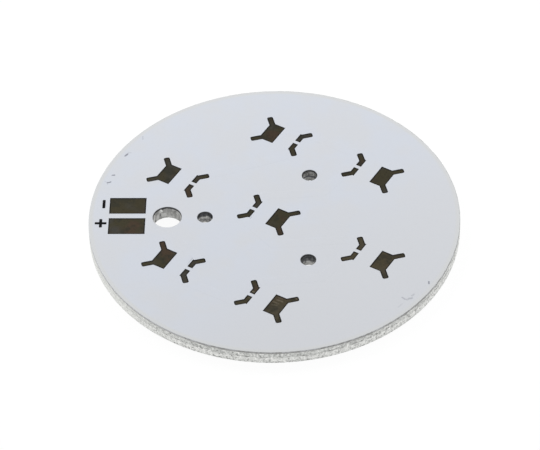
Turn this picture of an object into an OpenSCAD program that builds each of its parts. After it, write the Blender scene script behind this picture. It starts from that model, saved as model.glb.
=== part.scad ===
// Bare round circuit board for seven surface mount power LEDs, on an aluminium core.
// The bare aluminium underside lies on z = 0 and the printed side faces +Z.
// The origin is the centre of the underside, and the two wire lands are towards -X.
// The seven LED seats are wired in one series chain between the wire lands.

/* [Board] */
// Diameter of the blanked disc
board_d = 40; // [39.6:0.2:60]
// Thickness of the finished board, from bare aluminium to solder mask
board_t = 1.6; // [1:0.1:3.2]
// Break along the lower edge of the rim
edge_break = 0.1; // [0.05:0.01:0.2]

/* [Layers] */
// Thickness of the insulating layer that bonds the copper to the aluminium
dielectric_t = 0.12; // [0.075:0.005:0.2]
// Thickness of the etched copper
copper_t = 0.07; // [0.035:0.005:0.14]
// Thickness of the solder mask where it covers copper
mask_cover_t = 0.03; // [0.02:0.005:0.05]
// How far the solder mask laps over the edge of each land
mask_lap = 0.1; // [0.05:0.01:0.15]
// Thickness of the printed ink
ink_t = 0.02; // [0.01:0.005:0.03]

/* [LED pattern] */
// Distance from the centre seat to each seat of the ring, and between seats of the ring
led_pitch = 12.93; // [12.6:0.01:14]
// Direction of the upright seats, from their electrodes to their thermal land
seat_angle = -30; // [-32:0.5:-28]

/* [LED seat] */
// Overall length of one seat's lands
seat_l = 4.35; // [4.2:0.01:4.6]
// Overall width of one seat's lands
seat_w = 2.78; // [2.5:0.01:3]
// Distance from the LED's optical centre to the outer edge of the thermal land
optic_to_edge = 1.435; // [1.3:0.005:1.6]
// Length of the thermal land
thermal_l = 1.76; // [1.5:0.01:1.95]
// Length of each electrode land
electrode_l = 0.63; // [0.6:0.01:0.8]
// Gap between the two electrode lands
electrode_gap = 0.41; // [0.35:0.01:0.7]
// Width of the arms that leave the outer corners of the lands at 45 degrees
arm_w = 0.67; // [0.4:0.01:0.75]
// Reach of a thermal land's arm beyond its corner
thermal_reach = 0.9; // [0.6:0.01:1.1]
// Reach of an electrode land's arm beyond its corner
electrode_reach = 0.8; // [0.6:0.01:1]
// Radius of the corners at the end of an arm
arm_corner_r = 0.2; // [0.05:0.01:0.3]

/* [Tracks] */
// Width of the tracks that join the seats under the mask
track_w = 1; // [0.5:0.02:1.04]
// Diameter of the round pad at each end of a track
track_end_d = 1.12; // [1.1:0.01:1.3]
// Distance from the middle of a thermal land's arm to the bend of the track that goes round it
arm_bypass = 1.1; // [1:0.05:1.3]
// How far past the end of the first seat's arm the supply track bends
supply_ahead = 0.5; // [0.3:0.05:0.6]
// How far along a link track its bend lies, so that the track clears a peg hole
bend_run = 5.2; // [4.8:0.05:5.6]
// How far to the side of a link track's start its bend lies
bend_rise = 3.8; // [3.6:0.05:4.2]

/* [Holes] */
// Diameter of the hole that the supply wires pass through
wire_hole_d = 3.1; // [2.6:0.05:3.4]
// Distance from the board's centre to the wire hole
wire_hole_r = 11.53; // [11.2:0.01:12]
// Diameter of the holes for the pegs of the lens
peg_hole_d = 1.65; // [1.2:0.05:2.2]

/* [Wire lands] */
// Length of each wire land
wire_land_l = 3.96; // [3:0.01:4.1]
// Width of each wire land
wire_land_w = 2.42; // [1.8:0.01:2.8]
// Gap between the two wire lands
wire_land_gap = 0.69; // [0.5:0.01:1]
// How far the middle of that gap lies off the X axis
wire_land_shift = 0.19; // [-0.2:0.01:0.3]
// Distance from the wall of the wire hole to the wire lands
wire_land_to_hole = 0.79; // [0.5:0.01:0.9]

/* [Polarity marks] */
// Length of the strokes of the plus and minus marks
mark_l = 1.26; // [0.8:0.01:1.3]
// Width of the strokes
mark_w = 0.31; // [0.2:0.01:0.4]
// Radius of the corners of a stroke
mark_corner_r = 0.08; // [0.02:0.01:0.09]
// Distance of the minus mark's middle from the outer edge of its land
minus_out = 0.62; // [0.4:0.01:0.9]
// How far the minus mark's middle lies off its land's middle
minus_up = 0.26; // [0:0.01:0.5]
// Distance of the plus mark's middle from the outer edge of its land
plus_out = 0.84; // [0.75:0.01:0.9]
// How far the plus mark's middle lies off its land's middle
plus_up = 0.43; // [0:0.01:0.5]

/* [Hidden] */
$fn = 96;
// Extra length of each cutter beyond the faces that it passes through
cut = 1;
// How far an arm starts inside the corner of its land
root = arm_w / 2 + 0.05;

// Heights of the layers, from the underside up
base_t = board_t - mask_cover_t - copper_t - dielectric_t;
copper_z = base_t + dielectric_t;
mask_t = copper_t + mask_cover_t;

// Seat by seat, in the order of the current: ring or centre, angle on the ring, turned half round
SEATS = [
    [1, 210, true], [1, 270, false], [1, 330, false], [0, 0, false],
    [1, 30, false], [1, 90, true], [1, 150, true]
];
last_seat = len(SEATS) - 1;
center_seat = 3;
// Electrode sides of a seat: the current comes in at one and goes out at the other
in_side = -1;
out_side = 1;

// Edges of one seat's lands, from the LED's optical centre, +X towards the thermal land
thermal_x = optic_to_edge - thermal_l;
electrode_x = optic_to_edge - seat_l;
half_w = seat_w / 2;
electrode_w = (seat_w - electrode_gap) / 2;

// Peg holes stand midway between the centre seat and two neighbours of the ring
peg_ring_r = led_pitch / sqrt(3);
PEG_ANGLES = [60, 180, 300];

// Middles of the wire lands
wire_hole = [-wire_hole_r, 0];
wire_land_x = -wire_hole_r - wire_hole_d / 2 - wire_land_to_hole - wire_land_l / 2;
wire_land_y = (wire_land_gap + wire_land_w) / 2;
minus_land = [wire_land_x, wire_land_shift + wire_land_y];
plus_land = [wire_land_x, wire_land_shift - wire_land_y];
land_end = [-wire_land_l / 2, 0];

LINK_COUNT = last_seat;

function polar(r, a) = r * [cos(a), sin(a)];
function turned(p, a) = [p[0] * cos(a) - p[1] * sin(a), p[0] * sin(a) + p[1] * cos(a)];
function seat_pos(i) = polar(SEATS[i][0] * led_pitch, SEATS[i][1]);
function seat_turn(i) = seat_angle + (SEATS[i][2] ? 180 : 0);
// A point given in a seat's own frame, in the board's frame
function in_seat(i, p) = seat_pos(i) + turned(p, seat_turn(i));
// Outer corners of the lands, and points along the arms that leave them
function thermal_corner(side) = [optic_to_edge, side * half_w];
function electrode_corner(side) = [electrode_x, side * half_w];
function along_thermal_arm(side, d) = thermal_corner(side) + polar(d, side * 45);
function along_electrode_arm(side, d) = electrode_corner(side) + polar(d, side * 135);
// Where a track meets an electrode's arm
function tip(i, side) = in_seat(i, along_electrode_arm(side, electrode_reach - arm_w / 2));

// From a bend or an end of a track's middle line to the track's left edge
function left_of(run) = [-run[1], run[0]] / norm(run);
function miter(points, i) =
    let (
        last = len(points) - 1,
        before = left_of(points[max(i, 1)] - points[max(i, 1) - 1]),
        after = left_of(points[min(i + 1, last)] - points[min(i, last - 1)])
    )
    track_w / 2 * (before + after) / (1 + before * after);

// Bend that takes a track round a thermal land's arm, between the arm and the incoming electrode
function around_arm(i, ahead) =
    in_seat(i, along_thermal_arm(in_side, thermal_reach + ahead) + polar(arm_bypass, in_side * 135));

// Bends of the link tracks, in the order of the seats
peg_bend = [bend_run, bend_rise];
BENDS = [
    [], [seat_pos(1) + peg_bend], [around_arm(center_seat, arm_bypass)],
    [seat_pos(center_seat) + peg_bend], [], []
];

// A bar along +X with its end corners rounded, grown on all sides but its start
module bar(start, end, width, corner_r, grow) {
    w = width + 2 * grow;
    r = min(corner_r, 0.45 * width) + grow;
    translate([start, -w / 2]) square([end + grow - r - start, w]);
    translate([start, -w / 2 + r]) square([end + grow - start, w - 2 * r]);
    for (side = [-1, 1]) translate([end + grow - r, side * (w / 2 - r)]) circle(r);
}

module rectangle(corner, size, grow) {
    translate(corner - [grow, grow]) square(size + 2 * [grow, grow]);
}

// Outline of a seat's thermal land, with its two arms
module thermal_outline(i, grow) {
    translate(seat_pos(i)) rotate(seat_turn(i)) {
        rectangle([thermal_x, -half_w], [thermal_l, seat_w], grow);
        for (side = [-1, 1]) translate(thermal_corner(side)) rotate(side * 45)
            bar(-root, thermal_reach, arm_w, arm_corner_r, grow);
    }
}

// Outline of one electrode land, with its arm
module electrode_outline(i, side, grow) {
    translate(seat_pos(i)) rotate(seat_turn(i)) {
        rectangle([electrode_x, side > 0 ? half_w - electrode_w : -half_w], [electrode_l, electrode_w], grow);
        translate(electrode_corner(side)) rotate(side * 135)
            bar(-root, electrode_reach, arm_w, arm_corner_r, grow);
    }
}

module wire_land_outline(middle, grow) {
    size = [wire_land_l, wire_land_w];
    rectangle(middle - size / 2, size, grow);
}

// A track of straight runs with mitred bends and a round pad at each end
module track(points) {
    last = len(points) - 1;
    polygon(concat(
        [for (i = [0:last]) points[i] - miter(points, i)],
        [for (i = [last:-1:0]) points[i] + miter(points, i)]
    ));
    for (i = [0, last]) translate(points[i]) circle(d = track_end_d);
}

module positive_outline() {
    wire_land_outline(plus_land, mask_lap);
    electrode_outline(0, in_side, mask_lap);
    track([plus_land, around_arm(0, supply_ahead), tip(0, in_side)]);
}

module negative_outline() {
    wire_land_outline(minus_land, mask_lap);
    electrode_outline(last_seat, out_side, mask_lap);
    track([tip(last_seat, out_side), minus_land]);
}

// Copper from the seat i to the next one
module link_outline(i) {
    electrode_outline(i, out_side, mask_lap);
    electrode_outline(i + 1, in_side, mask_lap);
    track(concat([tip(i, out_side)], BENDS[i], [tip(i + 1, in_side)]));
}

module all_copper() {
    positive_outline();
    negative_outline();
    for (i = [0:LINK_COUNT - 1]) link_outline(i);
    for (i = [0:last_seat]) thermal_outline(i, mask_lap);
}

module mask_openings() {
    for (middle = [minus_land, plus_land]) wire_land_outline(middle, 0);
    for (i = [0:last_seat]) {
        thermal_outline(i, 0);
        for (side = [in_side, out_side]) electrode_outline(i, side, 0);
    }
}

module hole_outlines() {
    translate(wire_hole) circle(d = wire_hole_d);
    for (a = PEG_ANGLES) translate(polar(peg_ring_r, a)) circle(d = peg_hole_d);
}

module copper_layer() {
    color([0.26, 0.24, 0.18]) translate([0, 0, copper_z]) linear_extrude(copper_t) children();
}

module ink() {
    color([0.06, 0.06, 0.07]) translate([0, 0, board_t]) linear_extrude(ink_t) children();
}

// Blanked aluminium disc with a broken lower edge and the drilled holes
module aluminium_base() {
    r = board_d / 2;
    color([0.77, 0.78, 0.77]) difference() {
        rotate_extrude() polygon([
            [0, 0], [r - edge_break, 0], [r, edge_break], [r, base_t], [0, base_t]
        ]);
        translate([0, 0, -cut]) linear_extrude(base_t + 2 * cut) hole_outlines();
    }
}

module dielectric_layer() {
    color([0.36, 0.36, 0.35]) translate([0, 0, base_t]) linear_extrude(dielectric_t) difference() {
        circle(d = board_d);
        hole_outlines();
    }
}

// Flat on top, it fills the space between the copper and laps over the edge of every land
module solder_mask() {
    color([0.85, 0.86, 0.89]) translate([0, 0, copper_z]) difference() {
        linear_extrude(mask_t) difference() {
            circle(d = board_d);
            hole_outlines();
            mask_openings();
        }
        translate([0, 0, -cut]) linear_extrude(copper_t + cut) all_copper();
    }
}

module positive_track() {
    copper_layer() positive_outline();
}

module negative_track() {
    copper_layer() negative_outline();
}

module link_track(i) {
    copper_layer() link_outline(i);
}

module thermal_land(i) {
    copper_layer() thermal_outline(i, mask_lap);
}

module mark_stroke() {
    bar(0, mark_l / 2, mark_w, mark_corner_r, 0);
}

module legend_plus() {
    middle = plus_land + land_end + [-plus_out, plus_up];
    ink() translate(middle) for (a = [0:90:270]) rotate(a) mark_stroke();
}

module legend_minus() {
    middle = minus_land + land_end + [-minus_out, minus_up];
    ink() translate(middle) for (a = [90, 270]) rotate(a) mark_stroke();
}

aluminium_base();
dielectric_layer();
solder_mask();
positive_track();
for (i = [1:LINK_COUNT]) link_track(i - 1);
negative_track();
for (i = [1:len(SEATS)]) thermal_land(i - 1);
legend_plus();
legend_minus();
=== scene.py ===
"""Looks of a bare round circuit board on an aluminium core, for seven power LEDs."""

import math

import bmesh
import bpy
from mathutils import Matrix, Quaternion, Vector, noise
from mathutils.geometry import delaunay_2d_cdt


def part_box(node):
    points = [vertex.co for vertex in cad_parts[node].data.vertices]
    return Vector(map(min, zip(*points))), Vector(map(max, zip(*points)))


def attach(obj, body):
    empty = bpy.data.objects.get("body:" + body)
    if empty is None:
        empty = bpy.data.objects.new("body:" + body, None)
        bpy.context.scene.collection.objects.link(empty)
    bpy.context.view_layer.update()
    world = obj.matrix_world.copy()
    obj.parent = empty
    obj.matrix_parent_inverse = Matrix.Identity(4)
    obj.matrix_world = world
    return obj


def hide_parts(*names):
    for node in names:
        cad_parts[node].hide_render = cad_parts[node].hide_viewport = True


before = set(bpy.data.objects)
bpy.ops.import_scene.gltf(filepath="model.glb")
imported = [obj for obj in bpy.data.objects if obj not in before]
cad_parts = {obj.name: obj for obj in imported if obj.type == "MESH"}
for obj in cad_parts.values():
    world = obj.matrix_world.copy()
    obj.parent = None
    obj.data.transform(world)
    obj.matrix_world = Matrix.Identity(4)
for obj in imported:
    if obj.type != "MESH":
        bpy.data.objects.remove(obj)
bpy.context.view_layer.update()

# Lengths and places below are in millimetres in the board's frame, and this turns them into metres
MM = 0.001

# The photograph's view: the point looked at, and the camera's place from it, with its angles in degrees
CAMERA_AIM = (-0.436, -1.211, 1.6)
CAMERA_DISTANCE = 385.3
CAMERA_AZIMUTH = 2.13
CAMERA_ELEVATION = 44.79
CAMERA_ROLL = -1.54
CAMERA_LENS = 239.2
CAMERA_NEAREST = 10.0
SENSOR_WIDTH = 36.0

# Light, as shares of the level at which a colour renders as it is written: the sky's, and each lamp's
# after its place
SKY_LEVEL = 0.625
SKY_COLOUR = (1.0, 1.0, 1.0, 1.0)
LAMPS = [((-112.0, 112.0, 127.0), 0.205), ((112.0, 112.0, 127.0), 0.16)]
LAMP_SIZE = 105.0
FLOOR_SIZE = 6000.0
FLOOR_GAP = 0.02
FLOOR_GLOW = 0.92
FLOOR_COLOUR = (0.8, 0.8, 0.8, 1.0)
FLOOR_SHADE = (0.10, 0.10, 0.10, 1.0)

# Heights of the layers and sizes of the disc, from the frame
BASE_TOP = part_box("aluminium_base")[1].z / MM
COPPER_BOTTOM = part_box("dielectric_layer")[1].z / MM
COPPER_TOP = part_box("thermal_land_1")[1].z / MM
MASK_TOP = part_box("solder_mask")[1].z / MM
RIM_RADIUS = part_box("aluminium_base")[1].x / MM
RIM = ((0.0, 0.0), RIM_RADIUS)

# Spacing of a wall's points, the fewest points round a hole and the fewest steps up a wall
WALL_STEP = 0.06
FEWEST_ROUND = 48
FEWEST_STEPS = 2

# Corners of a CAD mesh closer than this are one, and a face this near to a height lies on it
SAME_POINT = 1e-4
SAME_HEIGHT = 1e-3
# How outlines are filled: with the triangles inside them, to that tolerance
FILL_INSIDE = 1
FILL_TOLERANCE = 1e-7

# Depth of the wear of the cut walls
LEAST_PIT = 0.003
MAX_PIT = 0.06
# The rim's rounded lower edge
RIM_EDGE_ROUND = 0.1
RIM_EDGE_STEPS = 4
# The rim's groove: its height and how much that strays, its depth and width, and how it is broken by noise
RIM_GROOVE_HEIGHT = 0.88
RIM_GROOVE_STRAY = 0.08
RIM_GROOVE_DEPTH = 0.05
RIM_GROOVE_WIDTH = 0.05
RIM_GROOVE_GAIN = 3.0
RIM_GROOVE_LOSS = 0.1
# Shifts in the noise, so that one kind of wear doesn't follow another
SCORES_APART = 90.0
GROOVE_APART = 50.0
GROOVE_LEVEL_APART = 7.0

COPPER_NODES = [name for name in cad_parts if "track" in name or "thermal_land" in name]


# Points and outlines

def row_on_circle(centre, radius, height, count):
    """A closed row of points on a circle, counter-clockwise from above."""
    turns = [2 * math.pi * i / count for i in range(count)]
    return [(centre[0] + radius * math.cos(a), centre[1] + radius * math.sin(a), height) for a in turns]


def at_height(outline, height):
    """The outline's points, placed at a height."""
    return [(p[0], p[1], height) for p in outline]


def signed_area(outline):
    """The outline's area, negative if it runs clockwise."""
    pairs = zip(outline, outline[1:] + outline[:1])
    return sum(a[0] * b[1] - b[0] * a[1] for a, b in pairs) / 2


def walked(edges):
    """The closed chains of vertices that a set of boundary edges makes."""
    following = {}
    for edge in edges:
        for vert in edge.verts:
            following.setdefault(vert, []).append(edge)
    chains = []
    left = set(edges)
    while left:
        edge = min(left, key=lambda e: e.index)
        vert = edge.verts[0]
        chain = []
        while edge in left:
            left.discard(edge)
            chain.append(vert)
            vert = edge.other_vert(vert)
            edge = next((e for e in following[vert] if e in left), edge)
        chains.append(chain)
    return chains


def face_outlines(node, height):
    """Outlines of a CAD node's flat face at a height, counter-clockwise, the largest first."""
    bm = bmesh.new()
    bm.from_mesh(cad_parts[node].data)
    bmesh.ops.remove_doubles(bm, verts=bm.verts, dist=SAME_POINT * MM)
    bm.edges.index_update()
    flat = {f for f in bm.faces if all(abs(v.co.z / MM - height) < SAME_HEIGHT for v in f.verts)}
    edges = [e for e in bm.edges if sum(f in flat for f in e.link_faces) == 1]
    outlines = []
    for chain in walked(edges):
        outline = [(v.co.x / MM, v.co.y / MM) for v in chain]
        if signed_area(outline) < 0:
            outline.reverse()
        outlines.append(outline)
    bm.free()
    return sorted(outlines, key=signed_area, reverse=True)


def inset(outline, distance):
    """The outline moved to its inner side, or outwards by a negative distance, with mitred corners."""
    moved = []
    count = len(outline)
    for i, point in enumerate(outline):
        here = Vector(point)
        into = (here - Vector(outline[i - 1])).normalized()
        out = (Vector(outline[(i + 1) % count]) - here).normalized()
        before = Vector((-into.y, into.x))
        after = Vector((-out.y, out.x))
        moved.append(tuple(here + distance * (before + after) / (1 + before.dot(after))))
    return moved


def is_inside(point, outline):
    """True if the point lies inside the outline, by the crossings of a ray towards +X."""
    inside = False
    for a, b in zip(outline, outline[1:] + outline[:1]):
        if (a[1] > point[1]) != (b[1] > point[1]):
            crossing = a[0] + (point[1] - a[1]) * (b[0] - a[0]) / (b[1] - a[1])
            inside ^= point[0] < crossing
    return inside


def circle_of(outline):
    """Centre and radius of a round outline."""
    xs = [p[0] for p in outline]
    ys = [p[1] for p in outline]
    centre = ((min(xs) + max(xs)) / 2, (min(ys) + max(ys)) / 2)
    return centre, (max(xs) - min(xs)) / 2


class Shell:
    """The vertices and faces of one closed piece."""

    def __init__(self):
        self.points = []
        self.faces = []
        self.marks = {}

    def row(self, points, **marks):
        """Adds a closed row of points, and a number for each of them under each mark's name."""
        first = len(self.points)
        self.points += points
        numbers = list(range(first, len(self.points)))
        for name, values in marks.items():
            each = values if isinstance(values, list) else [values] * len(points)
            self.marks.setdefault(name, {}).update(zip(numbers, each))
        return numbers

    def wall(self, lower, upper, slot=0, inwards=False, smooth=True):
        """Joins two rows of as many points, facing out of the row or into it."""
        count = len(lower)
        for i in range(count):
            j = (i + 1) % count
            face = (lower[i], lower[j], upper[j], upper[i])
            self.faces.append((face[::-1] if inwards else face, slot, smooth))

    def fill(self, outer, holes=(), slot=0, down=False):
        """Fills the flat space between an outer row and the rows of its holes."""
        rows = [outer, *holes]
        numbers = [n for row in rows for n in row]
        owner = {n: row for row in rows for n in row}
        place = {n: i for i, n in enumerate(numbers)}
        flat = [Vector(self.points[n][:2]) for n in numbers]
        edges = [(place[a], place[b]) for row in rows for a, b in zip(row, row[1:] + row[:1])]
        triangles, sources = delaunay_2d_cdt(flat, edges, [], FILL_INSIDE, FILL_TOLERANCE)[2:4]
        for triangle in triangles:
            corners = [numbers[sources[v][0]] for v in triangle]
            if self.in_hole(corners, owner, outer):
                continue
            turn = signed_area([self.points[n] for n in corners])
            if (turn < 0) != down:
                corners.reverse()
            self.faces.append((tuple(corners), slot, False))

    def in_hole(self, corners, owner, outer):
        """True for a triangle inside one of the holes: its corners are all on that hole's row."""
        row = owner[corners[0]]
        if row is outer or any(owner[n] is not row for n in corners):
            return False
        middle = [sum(self.points[n][axis] for n in corners) / 3 for axis in range(2)]
        return is_inside(middle, [self.points[n] for n in row])

    def piece(self, name, materials):
        """The finished object, with its marks as attributes of its points."""
        mesh = bpy.data.meshes.new(name)
        mesh.from_pydata([[c * MM for c in p] for p in self.points], [], [f[0] for f in self.faces])
        for material in materials:
            mesh.materials.append(material)
        for polygon, face in zip(mesh.polygons, self.faces):
            polygon.material_index = face[1]
            polygon.use_smooth = face[2]
        for mark, values in self.marks.items():
            layer = mesh.attributes.new(mark, "FLOAT", "POINT")
            layer.data.foreach_set("value", [values.get(i, 0.0) for i in range(len(self.points))])
        mesh.validate()
        piece = bpy.data.objects.new(name, mesh)
        bpy.context.collection.objects.link(piece)
        return piece


# Wear of the cut walls

def ripple(x, y, z, per_mm, per_mm_up):
    """Smooth noise from -1 to 1, with its own fineness round the wall and up it."""
    return noise.noise(Vector((x * per_mm, y * per_mm, z * per_mm_up)))


def drawn(x, y, z, depth, per_mm, per_mm_up):
    """Depth of the unevenness all over a wall: none to twice the given depth."""
    return depth * (1 + ripple(x, y, z, per_mm, per_mm_up))


def torn(x, y, z, depth, begin, per_mm, per_mm_up):
    """Depth of scattered tears, which begin at that level of the noise and are deeper above it."""
    return depth * max(0.0, ripple(x, y, z, per_mm, per_mm_up) - begin)


def groove_pit(x, y, z):
    """Depth of the rim's groove, which strays up and down and is broken in places."""
    stray = ripple(x, y, GROOVE_LEVEL_APART, per_mm=0.5, per_mm_up=1.0)
    level = RIM_GROOVE_HEIGHT + RIM_GROOVE_STRAY * stray
    breaks = ripple(x, y + GROOVE_APART, 0.0, per_mm=1.3, per_mm_up=1.0)
    share = min(1.0, max(0.0, RIM_GROOVE_GAIN * breaks - RIM_GROOVE_LOSS))
    return RIM_GROOVE_DEPTH * share * math.exp(-((z - level) / RIM_GROOVE_WIDTH) ** 2)


def rim_pit(x, y, z):
    """How far the blanked rim is torn in at a point."""
    uneven = LEAST_PIT + drawn(x, y, z, depth=0.008, per_mm=3.1, per_mm_up=0.5)
    tears = torn(x, y, z, depth=0.18, begin=0.28, per_mm=4.0, per_mm_up=4.4)
    scores = torn(x + SCORES_APART, y, z, depth=0.12, begin=0.42, per_mm=4.6, per_mm_up=0.9)
    return min(MAX_PIT, uneven + tears + scores + groove_pit(x, y, z))


def hole_pit(x, y, z):
    """How far a hole's wall is scored at a point."""
    uneven = drawn(x, y, z, depth=0.012, per_mm=4.5, per_mm_up=0.5)
    tears = torn(x, y, z, depth=0.06, begin=0.2, per_mm=3.1, per_mm_up=3.3)
    return min(MAX_PIT, uneven + tears)


def edge_pit(x, y, z):
    """How far the brittle edge of the resin and the mask is chipped back at a point."""
    uneven = LEAST_PIT + drawn(x, y, z, depth=0.012, per_mm=3.7, per_mm_up=2.0)
    chips = torn(x + SCORES_APART, y, 0.0, depth=0.12, begin=0.38, per_mm=1.9, per_mm_up=1.0)
    return min(MAX_PIT, uneven + chips)


def cut_row(centre, radius, height, count, pit, outwards):
    """A row of a rough wall, cut into the sheet, with each point's share of the deepest pit."""
    points = []
    depths = []
    for x, y, z in row_on_circle(centre, radius, height, count):
        depth = pit(x, y, z)
        away = 1 + (-depth if outwards else depth) / radius
        points.append((centre[0] + (x - centre[0]) * away, centre[1] + (y - centre[1]) * away, z))
        depths.append(depth / MAX_PIT)
    return points, depths


def count_round(radius):
    """How many points a wall has round it."""
    return max(FEWEST_ROUND, round(2 * math.pi * radius / WALL_STEP))


def rough_wall(shell, circle, heights, pit, slot=0, outwards=True):
    """Adds a rough wall, a row for each height and inset, and returns its rows from the lowest up."""
    centre, radius = circle
    rows = []
    for height, inset_by in heights:
        points, depths = cut_row(centre, radius - inset_by, height, count_round(radius), pit, outwards)
        rows.append(shell.row(points, pit=depths, soil=1.0))
    for lower, upper in zip(rows, rows[1:]):
        shell.wall(lower, upper, slot, inwards=not outwards)
    return rows


def even_heights(bottom, top):
    """The heights of a straight wall's rows, each with no inset."""
    count = max(FEWEST_STEPS, round((top - bottom) / WALL_STEP))
    return [(bottom + (top - bottom) * i / count, 0.0) for i in range(count + 1)]


# Pieces

# Material slots of the base: the sheet's faces, its rim, and then one for each hole
SHEET_SLOT = 0
RIM_SLOT = 1


def rounded_heights():
    """Heights and insets of the rows of the rim's rounded lower edge."""
    turns = [math.pi / 2 * (1 - i / RIM_EDGE_STEPS) for i in range(RIM_EDGE_STEPS)]
    return [(RIM_EDGE_ROUND * (1 - math.sin(a)), RIM_EDGE_ROUND * (1 - math.cos(a))) for a in turns]


def base_piece(holes, materials):
    """The aluminium disc, with its torn rim and scored hole walls."""
    shell = Shell()
    rim_heights = rounded_heights() + even_heights(RIM_EDGE_ROUND, BASE_TOP)
    rim_rows = rough_wall(shell, RIM, rim_heights, rim_pit, RIM_SLOT, outwards=True)
    heights = even_heights(0.0, BASE_TOP)
    hole_rows = []
    for slot, hole in enumerate(holes, RIM_SLOT + 1):
        hole_rows.append(rough_wall(shell, hole, heights, hole_pit, slot, outwards=False))
    shell.fill(rim_rows[0], [rows[0] for rows in hole_rows], SHEET_SLOT, down=True)
    shell.fill(rim_rows[-1], [rows[-1] for rows in hole_rows], SHEET_SLOT)
    piece = shell.piece("base_sheet", materials)
    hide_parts("aluminium_base")
    return piece


def resin_piece(holes, material):
    """The insulating layer, chipped back a little at every cut."""
    shell = Shell()
    heights = even_heights(BASE_TOP, COPPER_BOTTOM)
    rim_rows = rough_wall(shell, RIM, heights, edge_pit, outwards=True)
    hole_rows = [rough_wall(shell, hole, heights, edge_pit, outwards=False) for hole in holes]
    shell.fill(rim_rows[0], [rows[0] for rows in hole_rows], down=True)
    shell.fill(rim_rows[-1], [rows[-1] for rows in hole_rows])
    piece = shell.piece("resin_layer", [material])
    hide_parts("dielectric_layer")
    return piece


# Height and width of the rounding along the coat's upper edges
MASK_ROUND_DROP = 0.008
MASK_ROUND_WIDTH = 0.03
MASK_EDGE_TOP = MASK_TOP - MASK_ROUND_DROP
# The coat rises a little over the copper below it, from this far outside the copper's outline
MASK_RELIEF = 0.012
MASK_RELIEF_WIDTH = 0.09
# Painted shade at the top of an opening's wall, from 1 at its foot: the low wall round a bare land is
# painted dark as its shade
OPENING_SHADE = 0.7


def mask_cut(shell, circle, outwards):
    """Adds the coat's cut wall and rounded edge round a circle, and returns its lowest and topmost rows."""
    centre, radius = circle
    rows = rough_wall(shell, circle, even_heights(COPPER_BOTTOM, MASK_EDGE_TOP), edge_pit, outwards=outwards)
    back = MAX_PIT + MASK_ROUND_WIDTH
    top_radius = radius - back if outwards else radius + back
    top = shell.row(row_on_circle(centre, top_radius, MASK_TOP, len(rows[-1])))
    shell.wall(rows[-1], top, inwards=not outwards)
    return rows[0], top


def mask_opening(shell, outline):
    """Adds an opening's wall and rounded edge, and returns its lowest and topmost rows."""
    foot = shell.row(at_height(outline, COPPER_TOP), soil=1.0)
    edge = shell.row(at_height(outline, MASK_EDGE_TOP + MASK_RELIEF), soil=OPENING_SHADE)
    top = shell.row(at_height(inset(outline, -MASK_ROUND_WIDTH), MASK_TOP + MASK_RELIEF))
    shell.wall(foot, edge, inwards=True, smooth=False)
    shell.wall(edge, top, inwards=True, smooth=False)
    return foot, top


def mask_over_copper(shell, outline, feet, tops):
    """Adds the coat's room for a piece of copper and its rise above it, round the openings' rows."""
    low = shell.row(at_height(outline, COPPER_BOTTOM))
    high = shell.row(at_height(outline, COPPER_TOP))
    shell.wall(low, high, inwards=True, smooth=False)
    shell.fill(high, feet, down=True)
    slope = shell.row(at_height(inset(outline, -MASK_RELIEF_WIDTH), MASK_TOP))
    raised = shell.row(at_height(outline, MASK_TOP + MASK_RELIEF))
    shell.wall(slope, raised)
    shell.fill(raised, tops)
    return low, slope


def mask_piece(holes, openings, copper, material):
    """The solder mask: rounded edges on top, and below it the room for the copper."""
    shell = Shell()
    rim_low, rim_top = mask_cut(shell, RIM, outwards=True)
    inner = [mask_cut(shell, hole, outwards=False) for hole in holes]
    opened = [(outline, *mask_opening(shell, outline)) for outline in openings]
    for outline in copper:
        own = [rows for rows in opened if is_inside(rows[0][0], outline)]
        feet = [foot for opening, foot, top in own]
        tops = [top for opening, foot, top in own]
        inner.append(mask_over_copper(shell, outline, feet, tops))
    shell.fill(rim_top, [top for low, top in inner])
    shell.fill(rim_low, [low for low, top in inner], down=True)
    piece = shell.piece("mask_coat", [material])
    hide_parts("solder_mask")
    return piece


# Painted shade along the border of a bare land, where the mask's edge meets it: full tone up to the first
# distance from the mask, gone at the second
LAND_SHADE_FULL = 0.09
LAND_SHADE_END = 0.17


def copper_piece(node, outline, openings, material):
    """One etched piece of copper, with a mark along the edge of each bare land for the painted shade by the
    mask's edge.
    """
    shell = Shell()
    low = shell.row(at_height(outline, COPPER_BOTTOM))
    high = shell.row(at_height(outline, COPPER_TOP))
    shell.wall(low, high, smooth=False)
    shell.fill(low, down=True)
    rows = []
    for opening in openings:
        # The mark for the painted shade by the mask: full at the opening's edge, none further in
        edge = shell.row(at_height(opening, COPPER_TOP), edge=1.0)
        near = shell.row(at_height(inset(opening, LAND_SHADE_FULL), COPPER_TOP), edge=1.0)
        bare = shell.row(at_height(inset(opening, LAND_SHADE_END), COPPER_TOP), edge=0.0)
        shell.wall(edge, near, smooth=False)
        shell.wall(near, bare, smooth=False)
        shell.fill(bare)
        rows.append(edge)
    shell.fill(high, rows)
    piece = shell.piece("foil_" + node, [material])
    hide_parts(node)
    return piece


# Materials

# Stretches of a noise: none, flat, up a wall, far up a wall, and along the rim
EVEN = (1.0, 1.0, 1.0)
FLAT = (1.0, 1.0, 0.0)
UPRIGHT = (1.0, 1.0, 0.4)
DRAGGED = (1.0, 1.0, 0.15)
ALONG = (0.45, 0.45, 1.0)
GRAIN_ROUGHNESS = 0.6
NOISE_MIDDLE = 0.5
# Distances from the rim at which a tone of the rim's own begins and is full
RIM_ZONE_FROM = 2.0
RIM_ZONE_FULL = 1.0
# Direction in which the coat is warmer and the lands more worn. How far along it is a value of x - y
FRONT_RIGHT = (1.0, -1.0, 0.0)


def new_material(name):
    """A material, its node tree and its shader."""
    material = bpy.data.materials.new(name)
    material.use_nodes = True
    return material, material.node_tree, material.node_tree.nodes["Principled BSDF"]


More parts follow.
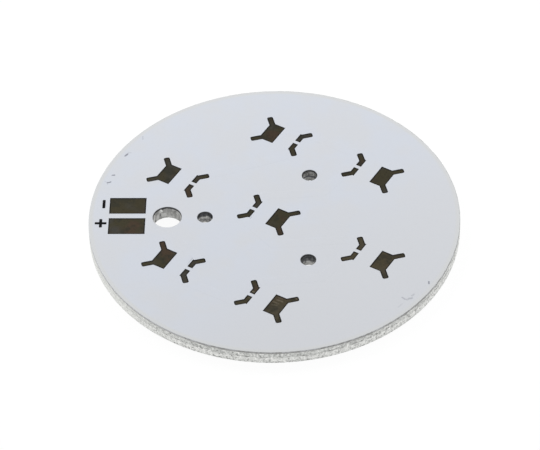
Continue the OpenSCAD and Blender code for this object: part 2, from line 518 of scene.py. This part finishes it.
def set_inputs(tree, node, inputs):
    """Sets each input to its value, or links it if that is another node's output."""
    for name, value in inputs.items():
        if isinstance(value, bpy.types.NodeSocket):
            tree.links.new(value, node.inputs[name])
        else:
            node.inputs[name].default_value = value


def add(tree, kind, inputs, **settings):
    """Adds a node, sets or links its inputs, and returns it."""
    made = tree.nodes.new("ShaderNode" + kind)
    for name, value in settings.items():
        setattr(made, name, value)
    set_inputs(tree, made, inputs)
    return made


def board_point(tree):
    """The shaded point in the board's frame, in millimetres."""
    coordinates = add(tree, "TexCoord", {})
    return vector_math(tree, "MULTIPLY", coordinates.outputs["Object"], (1 / MM, 1 / MM, 1 / MM))


def vector_math(tree, operation, a, b):
    """The vector that the operation makes of two."""
    return add(tree, "VectorMath", {0: a, 1: b}, operation=operation).outputs["Vector"]


def math_node(tree, operation, a, b):
    """The number that the operation makes of two."""
    return add(tree, "Math", {0: a, 1: b}, operation=operation).outputs[0]


def part_of(tree, point, axis):
    """The point's X, Y or Z."""
    return add(tree, "SeparateXYZ", {0: point}).outputs[axis]


def from_middle(tree, point):
    """The point's distance from the board's axis."""
    flat = vector_math(tree, "MULTIPLY", point, FLAT)
    return add(tree, "VectorMath", {0: flat}, operation="LENGTH").outputs["Value"]


def length_along(tree, point, direction):
    """The dot product of the point and a direction."""
    return add(tree, "VectorMath", {0: point, 1: direction}, operation="DOT_PRODUCT").outputs["Value"]


def at_rim(tree, point):
    """1 at the board's rim and 0 at its holes."""
    return rising(tree, from_middle(tree, point), RIM_RADIUS - RIM_ZONE_FROM, RIM_RADIUS - RIM_ZONE_FULL)


def grain(tree, point, per_mm, detail=2.0, stretch=EVEN):
    """Noise from 0 to 1 with that many features to a millimetre."""
    place = vector_math(tree, "MULTIPLY", point, stretch)
    inputs = {"Vector": place, "Scale": per_mm, "Detail": detail, "Roughness": GRAIN_ROUGHNESS}
    return add(tree, "TexNoise", inputs).outputs[0]


def ranged(tree, value, low, high, to_low, to_high):
    """A value's place between two limits, smoothly, in a new range."""
    inputs = {"Value": value, "From Min": low, "From Max": high, "To Min": to_low, "To Max": to_high}
    return add(tree, "MapRange", inputs, interpolation_type="SMOOTHSTEP").outputs[0]


def rising(tree, value, begin, full, share=1.0):
    """Nothing up to one value, and that share from another on."""
    return ranged(tree, value, begin, full, 0.0, share)


def falling(tree, value, full, gone, share=1.0):
    """That share up to one value, and nothing from another on."""
    return ranged(tree, value, full, gone, share, 0.0)


def patches(tree, point, per_mm, begin, full, share=1.0, detail=2.0, stretch=EVEN):
    """Share of the patches that a noise makes, which begin and are full at two of its levels."""
    return rising(tree, grain(tree, point, per_mm, detail, stretch), begin, full, share)


def band_share(tree, height, low, high, share, fade=0.06):
    """Share of a band between two heights, fading out over its edges."""
    rise = rising(tree, height, low - fade, low + fade, share)
    fall = falling(tree, height, high - fade, high + fade)
    return math_node(tree, "MULTIPLY", rise, fall)


def strayed_height(tree, point, stray, per_mm, detail=3.0, stretch=EVEN):
    """The point's height, moved up and down by noise, by up to half that stray."""
    offset = math_node(tree, "SUBTRACT", grain(tree, point, per_mm, detail, stretch), NOISE_MIDDLE)
    return math_node(tree, "ADD", part_of(tree, point, "Z"), math_node(tree, "MULTIPLY", offset, stray))


def blended(tree, share, a, b):
    """Colour a, turning into colour b as the share goes to 1."""
    return add(tree, "Mix", {0: share, 6: a, 7: b}, data_type="RGBA").outputs[2]


def layered(tree, colour, layers):
    """The colour under layers of others, each a share and a colour, the lowest first."""
    for share, over in layers:
        colour = blended(tree, share, colour, over)
    return colour


def between(tree, share, a, b):
    """Number a, turning into number b as the share goes to 1."""
    return add(tree, "Mix", {0: share, 2: a, 3: b}).outputs[0]


def bumped(tree, height, depth, before=None):
    """The normal of a surface whose height varies by that depth in millimetres."""
    inputs = {"Height": height, "Distance": depth * MM}
    if before is not None:
        inputs["Normal"] = before
    return add(tree, "Bump", inputs).outputs[0]


def mark_value(tree, name):
    """The value of a mark that the piece's points carry."""
    return add(tree, "Attribute", {}, attribute_name=name).outputs["Fac"]


# Grey scuffs on the mask: start, end, width and strength
SCUFFS = [
    ((-16.50, 9.55), (-16.26, 9.88), 0.15, 1.0),
    ((-16.22, 10.05), (-15.90, 10.04), 0.10, 0.30),
    ((-17.79, 6.48), (-17.55, 6.51), 0.13, 1.0),
    ((-18.22, 5.32), (-17.92, 5.43), 0.15, 1.0),
    ((-18.24, 5.27), (-18.23, 5.05), 0.08, 0.35),
    ((-18.55, 5.52), (-18.30, 5.40), 0.07, 0.30),
    ((-14.71, 12.65), (-14.69, 12.15), 0.10, 0.35),
    ((16.50, -9.70), (16.50, -10.00), 0.13, 1.0),
    ((13.69, -12.05), (14.00, -12.30), 0.16, 0.45),
    ((14.00, -12.30), (14.20, -12.36), 0.14, 0.35),
    ((14.36, -12.22), (14.66, -12.14), 0.20, 0.45),
    ((14.70, -11.80), (14.90, -11.58), 0.16, 0.30),
    ((13.25, -13.45), (13.65, -12.95), 0.14, 0.15),
    ((-14.80, -13.44), (-14.64, -13.66), 0.12, 0.40),
]
SCUFF_COLOUR = (0.24, 0.25, 0.30, 1.0)
# Share of a stroke's width that has its full strength, and the noise that makes its edges stray
STROKE_CORE = 0.25
STROKE_WOBBLE = {"Scale": 5.0, "Detail": 2.0}


def on_level(marks, height):
    """Flat marks, with their ends placed at a height."""
    return [((*start, height), (*end, height), width, strength) for start, end, width, strength in marks]


def stroke(tree, point, start, end, width, strength):
    """Share of a short stroke at a point, fading out at its edge."""
    run = Vector(end) - Vector(start)
    offset = vector_math(tree, "SUBTRACT", point, start)
    along = length_along(tree, offset, tuple(run / run.length_squared))
    along = add(tree, "Clamp", {0: along}).outputs[0]
    nearest = add(tree, "VectorMath", {0: tuple(run), "Scale": along}, operation="SCALE").outputs["Vector"]
    away = add(tree, "VectorMath", {0: offset, 1: nearest}, operation="DISTANCE").outputs["Value"]
    return falling(tree, away, STROKE_CORE * width, width, strength)


def strokes(tree, point, marks, wobble=0.22):
    """Share of all the strokes at a point, with edges that stray by up to half that wobble."""
    cloud = add(tree, "TexNoise", {"Vector": point, **STROKE_WOBBLE}).outputs["Color"]
    centred = vector_math(tree, "SUBTRACT", cloud, (NOISE_MIDDLE,) * 3)
    ragged = vector_math(tree, "ADD", point, vector_math(tree, "MULTIPLY", centred, (wobble,) * 3))
    share = 0.0
    for mark in marks:
        share = math_node(tree, "MAXIMUM", stroke(tree, ragged, *mark), share)
    return share


# Metal is smeared all over the laminate's cut edge up to the first place along X, in patches from the second
SMEAR_FULL_X = -13.0
SMEAR_GONE_X = -5.0


def cut_grit(tree, point):
    """Share of pale, torn places along the laminate's cut edge."""
    return patches(tree, point, per_mm=2.2, detail=3.0, begin=0.42, full=0.64, share=0.85)


def smear_share(tree, point):
    """Share of the metal that blanking drew over the laminate's cut edge, most of it towards -X."""
    side = falling(tree, part_of(tree, point, "X"), SMEAR_FULL_X, SMEAR_GONE_X, share=0.97)
    patch = patches(tree, point, per_mm=0.5, detail=3.0, begin=0.50, full=0.66, share=0.85)
    return math_node(tree, "MULTIPLY", at_rim(tree, point), math_node(tree, "MAXIMUM", side, patch))


MASK_COLOUR = (0.640, 0.674, 0.742, 1.0)
MASK_WARM = (0.650, 0.667, 0.702, 1.0)
# How far towards the front right the warmer tone begins and is full
WARM_FROM = 0.0
WARM_FULL = 18.0
MASK_EDGE = (0.655, 0.668, 0.678, 1.0)
# Where the coat is thicker and greyer along the rim: full tone and none, as distances from the rim
MASK_EDGE_FULL = 0.25
MASK_EDGE_END = 0.65
# The mask's cut side: soiled by the resin below it and partly painted shade at the rim, and painted shade in
# the holes and the openings
SOIL_AND_SHADE_AT_RIM = (0.35, 0.35, 0.34, 1.0)
SHADE_IN_HOLE = (0.045, 0.046, 0.052, 1.0)
SOIL_AND_SHADE_SHARE = 0.95


def soil_colour(tree, point):
    """Tone of the soil and painted shade on the mask's walls: soil, torn and smeared, with some painted
    shade at the rim, and near black painted shade inside.
    """
    torn_edge = blended(tree, cut_grit(tree, point), SOIL_AND_SHADE_AT_RIM, MASK_WARM)
    torn_edge = blended(tree, smear_share(tree, point), torn_edge, MASK_WARM)
    return blended(tree, at_rim(tree, point), SHADE_IN_HOLE, torn_edge)


def soil_share(tree, point):
    """Share of the soil and painted shade, which starts lower down the walls of the holes and openings than
    at the rim.
    """
    mark = mark_value(tree, "soil")
    inside = rising(tree, mark, begin=0.75, full=1.0, share=SOIL_AND_SHADE_SHARE)
    outside = rising(tree, mark, begin=0.2, full=0.7, share=SOIL_AND_SHADE_SHARE)
    return between(tree, at_rim(tree, point), inside, outside)


def mask_material():
    """Semi-matt cool white mask with a faint orange peel, a few scuffs, a cut edge that is soiled and partly
    painted with shade, and painted shade in its holes and openings.
    """
    material, tree, shader = new_material("mask_white")
    point = board_point(tree)
    cloud = patches(tree, point, per_mm=0.22, detail=3.0, begin=0.35, full=0.65, share=0.8)
    side = rising(tree, length_along(tree, point, FRONT_RIGHT), WARM_FROM, WARM_FULL, share=0.9)
    colour = blended(tree, math_node(tree, "MAXIMUM", cloud, side), MASK_COLOUR, MASK_WARM)
    begin = RIM_RADIUS - MASK_EDGE_END
    full = RIM_RADIUS - MASK_EDGE_FULL
    colour = blended(tree, rising(tree, from_middle(tree, point), begin, full), colour, MASK_EDGE)
    colour = blended(tree, strokes(tree, point, on_level(SCUFFS, MASK_TOP)), colour, SCUFF_COLOUR)
    # Soil and painted shade on the walls of the cuts and the openings
    colour = blended(tree, soil_share(tree, point), colour, soil_colour(tree, point))
    peel = grain(tree, point, per_mm=2.2)
    fine = grain(tree, point, per_mm=11.0)
    set_inputs(tree, shader, {
        "Base Color": colour,
        "Roughness": ranged(tree, peel, 0.3, 0.7, to_low=0.42, to_high=0.52),
        "Normal": bumped(tree, peel, depth=0.006, before=bumped(tree, fine, depth=0.002)),
    })
    return material


# Tones of the lands: a dark olive brown that is partly the finish's colour and partly a painted reflection
# of dark surroundings
LAND_OLIVE = (0.042, 0.037, 0.022, 1.0)
LAND_RED = (0.051, 0.036, 0.024, 1.0)
LAND_DULL = (0.028, 0.028, 0.021, 1.0)
LAND_GREY = (0.045, 0.043, 0.036, 1.0)
LAND_WORN = (0.075, 0.061, 0.038, 1.0)
LAND_RUBBED = (0.118, 0.101, 0.073, 1.0)
# Dark tone of the finish's fine specks, and of the painted shade along the mask's edge
LAND_SPECKS_AND_SHADE = (0.012, 0.011, 0.010, 1.0)
# Stretch of the finish's fine grain
LAND_BRUSHED = (0.25, 1.0, 1.0)
# Move the grey patches and the dull ones away from the red ones
GREY_OFFSET = (43.0, 5.0, 0.0)
DULL_OFFSET = (17.0, 29.0, 0.0)
# How far towards the front right the wear begins and is full
WORN_FROM = 7.0
WORN_FULL = 14.0
# Paler rubbed marks on the lands: start, end, width and strength
LAND_RUBS = [
    ((0.55, -12.36), (1.08, -12.62), 0.15, 0.9),
    ((0.10, -12.62), (0.71, -12.92), 0.13, 0.7),
    ((0.00, -13.05), (0.51, -13.16), 0.12, 0.5),
    ((0.60, -12.00), (1.10, -12.20), 0.12, 0.4),
    ((2.41, -12.08), (2.62, -12.22), 0.13, 0.7),
    ((-2.10, -11.10), (-1.92, -11.20), 0.14, 1.0),
    ((-2.50, -11.90), (-2.36, -12.10), 0.12, 0.4),
]


def copper_material():
    """Copper with a dark olive brown tone, partly its finish and partly a painted dark reflection, red and
    grey in patches, with painted shade along the mask's edge.
    """
    material, tree, shader = new_material("land_bronze")
    point = board_point(tree)
    greyer = vector_math(tree, "ADD", point, GREY_OFFSET)
    duller = vector_math(tree, "ADD", point, DULL_OFFSET)
    layers = [
        (patches(tree, point, per_mm=0.38, detail=1.0, begin=0.50, full=0.62), LAND_RED),
        (patches(tree, greyer, per_mm=0.45, detail=1.0, begin=0.50, full=0.72), LAND_GREY),
        (rising(tree, length_along(tree, point, FRONT_RIGHT), WORN_FROM, WORN_FULL, share=0.5), LAND_WORN),
        (patches(tree, duller, per_mm=0.9, begin=0.46, full=0.66, share=0.7), LAND_DULL),
        (strokes(tree, point, on_level(LAND_RUBS, COPPER_TOP)), LAND_RUBBED),
        (patches(tree, point, per_mm=4.5, detail=3.0, begin=0.50, full=0.75, share=0.45), LAND_SPECKS_AND_SHADE),
        # Painted shade along the mask's edge, from the mark on the land's border
        (rising(tree, mark_value(tree, "edge"), begin=0.0, full=1.0, share=0.9), LAND_SPECKS_AND_SHADE),
    ]
    brushed = grain(tree, point, per_mm=7.0, detail=3.0, stretch=LAND_BRUSHED)
    set_inputs(tree, shader, {
        "Base Color": layered(tree, LAND_OLIVE, layers),
        "Metallic": 1.0,
        "Roughness": ranged(tree, brushed, 0.3, 0.7, to_low=0.30, to_high=0.44),
        "Normal": bumped(tree, brushed, depth=0.003),
    })
    return material


# Resin in the holes: painted shade, near black
RESIN_SHADED_IN_HOLE = (0.05, 0.05, 0.052, 1.0)
RESIN_AT_RIM = (0.36, 0.36, 0.352, 1.0)
RESIN_PALE = (0.58, 0.58, 0.565, 1.0)
RESIN_SMEARED = (0.70, 0.70, 0.69, 1.0)
# How far up the resin the metal is drawn along the rim, how much that strays, and how softly it ends
DRAWN_UP = 0.055
DRAWN_UP_STRAY = 0.14
DRAWN_UP_FADE = 0.02
# The fine crack along the rim: how far it reaches below and above the resin's top, its fade and its tone
CRACK_BELOW = 0.035
CRACK_ABOVE = 0.01
CRACK_FADE = 0.008
CRACK_COLOUR = (0.06, 0.06, 0.062, 1.0)


def drawn_up_share(tree, point):
    """Share of the metal that is drawn up over the resin's foot."""
    height = strayed_height(tree, point, DRAWN_UP_STRAY, per_mm=1.6, stretch=FLAT)
    reach = BASE_TOP + DRAWN_UP
    return falling(tree, height, reach - DRAWN_UP_FADE, reach + DRAWN_UP_FADE, share=0.85)


def crack_share(tree, point):
    """Share of the crack along the resin's top, which is broken in places."""
    low = COPPER_BOTTOM - CRACK_BELOW
    high = COPPER_BOTTOM + CRACK_ABOVE
    crack = band_share(tree, part_of(tree, point, "Z"), low, high, share=0.5, fade=CRACK_FADE)
    broken = patches(tree, point, per_mm=1.1, detail=3.0, stretch=FLAT, begin=0.4, full=0.6)
    return math_node(tree, "MULTIPLY", crack, broken)


def resin_material():
    """Dark filled resin, painted near black with shade in the holes, paler at the rim, where metal is
    smeared over it and a crack runs along its top.
    """
    material, tree, shader = new_material("resin_grey")
    point = board_point(tree)
    grit = cut_grit(tree, point)
    at_edge = layered(tree, RESIN_AT_RIM, [
        (grit, RESIN_PALE),
        (smear_share(tree, point), RESIN_SMEARED),
        (drawn_up_share(tree, point), RESIN_PALE),
        (crack_share(tree, point), CRACK_COLOUR),
    ])
    set_inputs(tree, shader, {
        "Base Color": blended(tree, at_rim(tree, point), RESIN_SHADED_IN_HOLE, at_edge),
        "Roughness": 0.7,
        "Normal": bumped(tree, grit, depth=0.01),
    })
    return material


INK_COLOUR = (0.0015, 0.0015, 0.0022, 1.0)
INK_WORN = (0.006, 0.006, 0.007, 1.0)


def ink_material():
    """Matt black ink with a little wear."""
    material, tree, shader = new_material("ink_black")
    point = board_point(tree)
    thin = patches(tree, point, per_mm=3.0, detail=3.0, begin=0.55, full=0.8)
    set_inputs(tree, shader, {
        "Base Color": blended(tree, thin, INK_COLOUR, INK_WORN),
        "Roughness": ranged(tree, thin, 0.0, 1.0, to_low=0.6, to_high=0.75),
        "Normal": bumped(tree, grain(tree, point, per_mm=9.0), depth=0.004),
        "Specular IOR Level": 0.06,
    })
    return material


METAL_BRIGHT = (0.92, 0.92, 0.90, 1.0)
METAL_PALE = (0.79, 0.80, 0.775, 1.0)
METAL_MID = (0.53, 0.54, 0.525, 1.0)
# Dark tone of the rim: painted shade in its pits, specks, groove and foot, and the tone of its drag marks
METAL_SHADE_AND_MARKS = (0.20, 0.20, 0.195, 1.0)
# Moves the dark specks, the groove's dashes and the drag marks away from the bright flecks; the specks and
# dashes are painted shade and the flecks painted glints
DARK_OFFSET = (0.0, 40.0, 0.0)
# Painted contact shade along the rim's lower edge, where it meets the floor: full up to the first height,
# none from the second on
RIM_FOOT_SHADE_FULL = 0.035
RIM_FOOT_SHADE_END = 0.14
# How far below the groove the rim begins to darken towards it
GROOVE_SHADE = 0.15
# Lowest and highest height of the rim's paler band, its drag marks and its dashes of painted shade in the
# groove, which also stray
PALE_BAND = (0.30, 0.76)
DRAG_BAND = (0.10, 0.62)
GROOVE_SHADE_BAND = (0.83, 0.92)
GROOVE_SHADE_STRAY = 0.2
# Places along X up to which the rim is calmest, and from which it is as rough as everywhere
CALM_X = -17.0
CALM_END_X = -8.0


def groove_shade_share(tree, point, apart):
    """Share of the painted shade in the groove, broken into dashes."""
    height = strayed_height(tree, point, GROOVE_SHADE_STRAY, per_mm=0.6, detail=5.0, stretch=UPRIGHT)
    band = band_share(tree, height, *GROOVE_SHADE_BAND, share=0.85, fade=0.03)
    length = patches(tree, apart, per_mm=0.9, detail=3.0, stretch=UPRIGHT, begin=0.50, full=0.60)
    return math_node(tree, "MULTIPLY", band, length)


def drag_share(tree, apart, height):
    """Share of the dark marks that the tool dragged down the rim."""
    drag = patches(tree, apart, per_mm=3.6, detail=3.0, stretch=DRAGGED, begin=0.56, full=0.68)
    return math_node(tree, "MULTIPLY", drag, band_share(tree, height, *DRAG_BAND, share=0.32))


def rim_material():
    """Torn aluminium of the blanked rim: mottled, with flecks of painted glint and painted shade, painted
    shade in its pits, groove and foot, calmer towards -X.
    """
    material, tree, shader = new_material("aluminium_blanked")
    point = board_point(tree)
    apart = vector_math(tree, "ADD", point, DARK_OFFSET)
    height = part_of(tree, point, "Z")
    mottle = patches(tree, point, per_mm=3.4, detail=4.0, begin=0.36, full=0.64)
    layers = [
        (mottle, METAL_MID),
        (rising(tree, height, RIM_GROOVE_HEIGHT - GROOVE_SHADE, RIM_GROOVE_HEIGHT, share=0.3), METAL_MID),
        (band_share(tree, height, *PALE_BAND, share=0.45), METAL_BRIGHT),
        # Bright flecks of painted glint, standing in for the glints of torn facets
        (patches(tree, point, per_mm=5.0, detail=3.0, stretch=UPRIGHT, begin=0.52, full=0.72), METAL_BRIGHT),
        # Dark specks of painted shade, standing in for the shade of torn facets
        (patches(tree, apart, per_mm=7.5, detail=3.0, stretch=ALONG, begin=0.52, full=0.70, share=0.75),
         METAL_SHADE_AND_MARKS),
        # Painted shade in the pits, deepest where the wall is torn in most
        (rising(tree, mark_value(tree, "pit"), begin=0.42, full=1.02, share=0.72), METAL_SHADE_AND_MARKS),
        # Painted shade in the groove
        (groove_shade_share(tree, point, apart), METAL_SHADE_AND_MARKS),
        (drag_share(tree, apart, height), METAL_SHADE_AND_MARKS),
        # Painted contact shade along the rim's foot
        (falling(tree, height, RIM_FOOT_SHADE_FULL, RIM_FOOT_SHADE_END, share=0.5), METAL_SHADE_AND_MARKS),
        (falling(tree, part_of(tree, point, "X"), CALM_X, CALM_END_X, share=0.65), METAL_PALE),
    ]
    set_inputs(tree, shader, {
        "Base Color": layered(tree, METAL_PALE, layers),
        "Metallic": 1.0,
        "Roughness": ranged(tree, mottle, 0.0, 1.0, to_low=0.42, to_high=0.6),
        "Normal": bumped(tree, grain(tree, point, per_mm=9.0, detail=3.0), depth=0.02),
    })
    return material


# Walls of the holes, the largest hole first and then by their angle on the board:
# name, paler and darker tone of the metal, both darkened by painted shade, and its bands of painted shade as
# lowest and highest height and share
HOLE_LOOKS = [
    ("wire", 0.46, 0.29, [(1.34, 1.7, 0.7)]),
    ("peg_front", 0.37, 0.18, [(0.60, 1.7, 0.68)]),
    ("peg_back", 0.31, 0.13, [(1.38, 1.7, 0.87), (0.54, 0.80, 0.85)]),
    ("peg_left", 0.45, 0.18, [(0.90, 1.7, 0.88), (0.30, 0.60, 0.45)]),
]
# Painted shade of the holes' dark bands and pits, and the tone of the wire hole's dark scores
HOLE_SHADE_AND_SCORES = (0.040, 0.042, 0.050, 1.0)
# Blue of the walls' metal as a share of its tone, the stretch of its mottle and the stray of the bands of
# painted shade
WALL_BLUE = 0.97
WALL_STRETCH = (1.0, 1.0, 0.8)
BAND_STRAY = 0.5
# Marks on the wall of the wire hole: start and end as angle and height, width and strength; the pale chips
# are partly a painted highlight on a burr
WIRE_CHIPS_AND_GLINT = [((122, 1.42), (114, 1.08), 0.13, 0.9), ((55, 0.98), (49, 0.90), 0.12, 0.5)]
WIRE_SCORES = [
    ((110.5, 1.42), (110, 1.15), 0.07, 0.7),
    ((122, 0.85), (122, 0.48), 0.09, 0.7),
    ((151, 0.45), (150, 0.12), 0.11, 0.8),
    ((168, 1.40), (166, 0.95), 0.12, 0.5),
]


def on_wall(circle, angle, height):
    """The point of a hole's wall at an angle in degrees and a height."""
    (x, y), radius = circle
    turn = math.radians(angle)
    return (x + radius * math.cos(turn), y + radius * math.sin(turn), height)


def wall_strokes(tree, point, circle, marks):
    """Share of a hole's marks at a point."""
    placed = [
        (on_wall(circle, *start), on_wall(circle, *end), width, strength)
        for start, end, width, strength in marks
    ]
    return strokes(tree, point, placed, wobble=0.12)


def wall_metal(tone):
    """The colour of a hole's wall in a light or dark tone."""
    return (tone, tone, WALL_BLUE * tone, 1.0)


def hole_material(circle, look, chips=(), scores=()):
    """Scored wall of a hole, with bands of painted shade, painted shade in its pits, and a few single marks.
    """
    name, pale, dark, bands = look
    material, tree, shader = new_material("aluminium_hole_" + name)
    point = board_point(tree)
    mottle = patches(tree, point, per_mm=2.4, detail=3.0, stretch=WALL_STRETCH, begin=0.36, full=0.64)
    height = strayed_height(tree, point, BAND_STRAY, per_mm=1.6)
    layers = [
        (mottle, wall_metal(dark)),
        # Painted shade in the pits of the wall
        (rising(tree, mark_value(tree, "pit"), begin=0.4, full=1.0, share=0.7), HOLE_SHADE_AND_SCORES),
    ]
    # Bands of painted shade
    layers += [(band_share(tree, height, *band), HOLE_SHADE_AND_SCORES) for band in bands]
    if chips:
        # Pale chips, partly a painted highlight on a burr
        layers.append((wall_strokes(tree, point, circle, chips), METAL_PALE))
    if scores:
        layers.append((wall_strokes(tree, point, circle, scores), HOLE_SHADE_AND_SCORES))
    set_inputs(tree, shader, {
        "Base Color": layered(tree, wall_metal(pale), layers),
        "Metallic": 1.0,
        "Roughness": ranged(tree, mottle, 0.0, 1.0, to_low=0.35, to_high=0.5),
        "Normal": bumped(tree, grain(tree, point, per_mm=8.0, detail=3.0), depth=0.012),
    })
    return material


def hole_materials(holes):
    """One material for each hole, the wire hole's first, which has marks of its own."""
    made = [hole_material(holes[0], HOLE_LOOKS[0], WIRE_CHIPS_AND_GLINT, WIRE_SCORES)]
    return made + [hole_material(hole, look) for hole, look in zip(holes[1:], HOLE_LOOKS[1:])]


SHEET_DARK = (0.60, 0.61, 0.61, 1.0)
SHEET_BRIGHT = (0.72, 0.73, 0.73, 1.0)
SHEET_CLOUD = (0.64, 0.65, 0.66, 1.0)
# Stretch of the rolled grain
SHEET_ROLLED = (0.04, 1.0, 1.0)


def sheet_material():
    """Bare rolled aluminium, with its grain along X and a few fine scratches."""
    material, tree, shader = new_material("aluminium_rolled")
    point = board_point(tree)
    rolled = grain(tree, point, per_mm=6.0, detail=4.0, stretch=SHEET_ROLLED)
    layers = [
        (rising(tree, rolled, begin=0.35, full=0.65), SHEET_BRIGHT),
        (patches(tree, point, per_mm=0.25, detail=3.0, begin=0.3, full=0.7), SHEET_CLOUD),
    ]
    set_inputs(tree, shader, {
        "Base Color": layered(tree, SHEET_DARK, layers),
        "Metallic": 1.0,
        "Roughness": ranged(tree, rolled, 0.3, 0.7, to_low=0.28, to_high=0.42),
        "Normal": bumped(tree, rolled, depth=0.004),
    })
    return material


# Stage

def background_share(tree):
    """1 for the rays that show the background: the camera's, and those in gloss and glass."""
    path = add(tree, "LightPath", {})
    gloss = math_node(tree, "MAXIMUM", path.outputs["Is Glossy Ray"], path.outputs["Is Transmission Ray"])
    return math_node(tree, "MAXIMUM", path.outputs["Is Camera Ray"], gloss)


def make_world():
    """An even sky that looks white."""
    world = bpy.data.worlds.new("sky")
    bpy.context.scene.world = world
    world.use_nodes = True
    tree = world.node_tree
    strength = add(tree, "MapRange", {"Value": background_share(tree), "To Min": SKY_LEVEL, "To Max": 1.0})
    tree.links.new(strength.outputs[0], tree.nodes["Background"].inputs["Strength"])
    tree.nodes["Background"].inputs["Color"].default_value = SKY_COLOUR


def make_floor():
    """A pale floor that looks white in the open and keeps the board's shadow."""
    bpy.ops.mesh.primitive_plane_add(size=FLOOR_SIZE * MM, location=(0.0, 0.0, -FLOOR_GAP * MM))
    floor = bpy.context.object
    floor.name = "floor"
    material = bpy.data.materials.new("floor_pale")
    material.use_nodes = True
    tree = material.node_tree
    tree.nodes.clear()
    plain = add(tree, "BsdfDiffuse", {"Color": FLOOR_COLOUR}).outputs[0]
    shade = add(tree, "BsdfDiffuse", {"Color": FLOOR_SHADE}).outputs[0]
    glow = add(tree, "Emission", {"Strength": FLOOR_GLOW}).outputs[0]
    seen = add(tree, "AddShader", {0: shade, 1: glow}).outputs[0]
    both = add(tree, "MixShader", {0: background_share(tree), 1: plain, 2: seen}).outputs[0]
    add(tree, "OutputMaterial", {"Surface": both})
    floor.data.materials.append(material)


def make_lamp(place, level):
    """A soft lamp that lights the middle of the board to that level."""
    place = Vector(place) * MM
    light = bpy.data.lights.new("soft_lamp", "AREA")
    light.shape = "SQUARE"
    light.size = LAMP_SIZE * MM
    slope = place.normalized().z
    light.energy = level * math.pi ** 2 * place.length_squared / slope
    lamp = bpy.data.objects.new("soft_lamp", light)
    lamp.location = place
    lamp.rotation_mode = "QUATERNION"
    lamp.rotation_quaternion = (-place).to_track_quat("-Z", "Y")
    bpy.context.collection.objects.link(lamp)


def make_camera():
    """The photograph's camera."""
    azimuth = math.radians(CAMERA_AZIMUTH)
    elevation = math.radians(CAMERA_ELEVATION)
    back = Vector((
        math.sin(azimuth) * math.cos(elevation),
        -math.cos(azimuth) * math.cos(elevation),
        math.sin(elevation),
    ))
    camera = bpy.data.objects.new("camera", bpy.data.cameras.new("camera"))
    camera.data.sensor_fit = "HORIZONTAL"
    camera.data.sensor_width = SENSOR_WIDTH
    camera.data.lens = CAMERA_LENS
    camera.data.clip_start = CAMERA_NEAREST * MM
    camera.location = (Vector(CAMERA_AIM) + CAMERA_DISTANCE * back) * MM
    camera.rotation_mode = "QUATERNION"
    roll = Quaternion((0.0, 0.0, 1.0), math.radians(CAMERA_ROLL))
    camera.rotation_quaternion = (-back).to_track_quat("-Z", "Y") @ roll
    bpy.context.collection.objects.link(camera)
    bpy.context.scene.camera = camera


def finish_node(name, material):
    """Gives a CAD node that keeps its own mesh a better material."""
    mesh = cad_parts[name].data
    mesh.materials.clear()
    mesh.materials.append(material)


def read_holes():
    """Centre and radius of each hole, the largest first and then by angle on the board."""
    circles = [circle_of(outline) for outline in face_outlines("aluminium_base", BASE_TOP)[1:]]
    return sorted(circles, key=lambda c: (-round(c[1], 2), round(math.atan2(c[0][1], c[0][0]), 2)))


def make_board():
    """Every piece of the board, from the outlines of the CAD nodes."""
    holes = read_holes()
    outlines = face_outlines("solder_mask", MASK_TOP)
    openings = [o for o in outlines[1:] if not any(is_inside(centre, o) for centre, radius in holes)]
    copper = {name: face_outlines(name, COPPER_TOP)[0] for name in COPPER_NODES}
    pieces = [
        base_piece(holes, [sheet_material(), rim_material()] + hole_materials(holes)),
        resin_piece(holes, resin_material()),
        mask_piece(holes, openings, list(copper.values()), mask_material()),
    ]
    foil = copper_material()
    for name, outline in copper.items():
        lands = [opening for opening in openings if is_inside(opening[0], outline)]
        pieces.append(copper_piece(name, outline, lands, foil))
    for piece in pieces:
        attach(piece, "root")
    ink = ink_material()
    for name in ["legend_plus", "legend_minus"]:
        finish_node(name, ink)


scene = bpy.context.scene
scene.view_settings.view_transform = "Standard"
make_camera()
make_world()
make_floor()
for lamp_place, lamp_level in LAMPS:
    make_lamp(lamp_place, lamp_level)
make_board()
